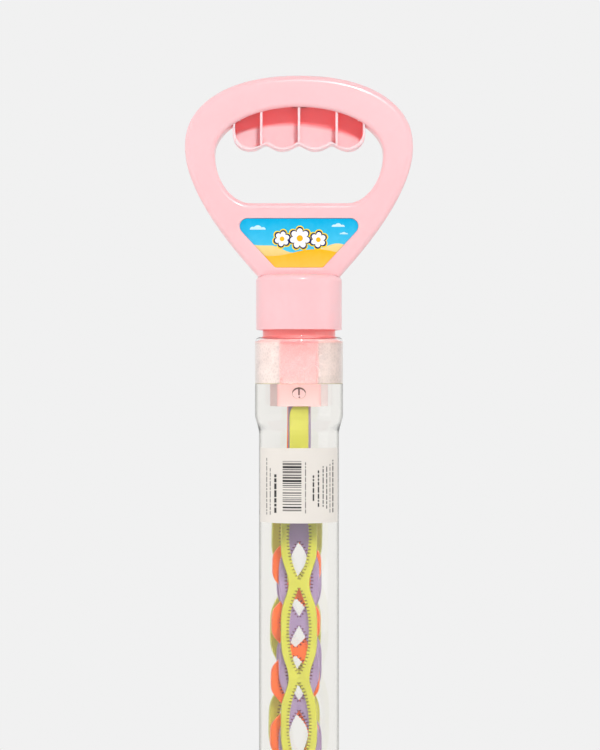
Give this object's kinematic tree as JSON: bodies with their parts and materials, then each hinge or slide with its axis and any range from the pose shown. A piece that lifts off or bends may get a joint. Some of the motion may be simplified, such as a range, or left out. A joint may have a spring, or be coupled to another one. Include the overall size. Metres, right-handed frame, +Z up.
{
  "type": "bubble wand",
  "caption": "Squeeze-handle bubble wand in a tall clear tube: ring handle with finger trigger, screw cap and a stack of toothed loop strips that fan out on a pivot.",
  "frame": {"origin": "centre of the tube's flat foot, which the object stands on", "axes": "+Z up along the tube to the handle, +Y away from the badge side, +X to the viewer's right"},
  "size_m": [0.1136, 0.044, 0.46],
  "materials": {
    "clear_tube": "clear blow-moulded plastic, glossy",
    "label_paper": "warm white paper label with plain ruled marks",
    "seal_rubber": "soft white liner",
    "pink_shell": "pale pink injection-moulded plastic, satin gloss",
    "badge_print": "glossy printed card, sky blue over warm yellow",
    "screw_steel": "zinc-plated steel",
    "frame_plastic": "white moulded plastic",
    "stem_pink": "pale pink plastic, wet gloss",
    "lime_plastic": "lime-yellow moulded plastic, glossy",
    "purple_plastic": "pale purple moulded plastic, glossy",
    "orange_plastic": "bright orange moulded plastic, glossy"
  },
  "bodies": {
    "tube": {"bubble_tube": "clear_tube", "tube_label": "label_paper"},
    "seal": {"seal_ring": "seal_rubber"},
    "handle": {"screw_cap": "pink_shell", "handle_front": "pink_shell", "handle_back": "pink_shell", "handle_badge": "badge_print", "handle_screws": "screw_steel", "return_spring": "screw_steel", "stem_front": "stem_pink", "stem_back": "stem_pink", "pivot_pin": "stem_pink", "orange_strip": "orange_plastic"},
    "trigger": {"finger_trigger": "pink_shell", "trigger_frame": "frame_plastic", "pull_rod": "frame_plastic", "drive_pin": "screw_steel", "spring_washer": "screw_steel"},
    "lime_front": {"lime_strip_front": "lime_plastic"},
    "purple_front": {"purple_strip_front": "purple_plastic"},
    "purple_back": {"purple_strip_back": "purple_plastic"},
    "lime_back": {"lime_strip_back": "lime_plastic"}
  },
  "joints": [
    {"name": "wand_lift", "type": "slide", "parent": "tube", "child": "seal", "axis": [0, 0, 1], "range_m": [0, 0.35]},
    {"name": "cap_turn", "type": "hinge", "parent": "seal", "child": "handle", "pos_m": [0, 0, 0.35], "axis": [0, 0, 1], "range_deg": [0, 60]},
    {"name": "trigger_squeeze", "type": "slide", "parent": "handle", "child": "trigger", "axis": [0, 0, 1], "range_m": [0, 0.007], "stiffness_N_per_m": 900, "springref_m": -0.004, "deforming": ["return_spring"]},
    {"name": "lime_front_swing", "type": "hinge", "parent": "handle", "child": "lime_front", "pos_m": [0, 0, 0.302], "axis": [0, 1, 0], "range_deg": [0, 1.9]},
    {"name": "purple_front_swing", "type": "hinge", "parent": "handle", "child": "purple_front", "pos_m": [0, 0, 0.302], "axis": [0, 1, 0], "range_deg": [0, 0.95]},
    {"name": "purple_back_swing", "type": "hinge", "parent": "handle", "child": "purple_back", "pos_m": [0, 0, 0.302], "axis": [0, 1, 0], "range_deg": [-0.95, 0]},
    {"name": "lime_back_swing", "type": "hinge", "parent": "handle", "child": "lime_back", "pos_m": [0, 0, 0.302], "axis": [0, 1, 0], "range_deg": [-2.45, 0]}
  ],
  "couplings": [
    {"joint": "lime_front_swing", "follows": "trigger_squeeze", "rad_per_m": 4.737},
    {"joint": "purple_front_swing", "follows": "trigger_squeeze", "rad_per_m": 2.3685},
    {"joint": "purple_back_swing", "follows": "trigger_squeeze", "rad_per_m": -2.3685},
    {"joint": "lime_back_swing", "follows": "trigger_squeeze", "rad_per_m": -6.108}
  ]
}
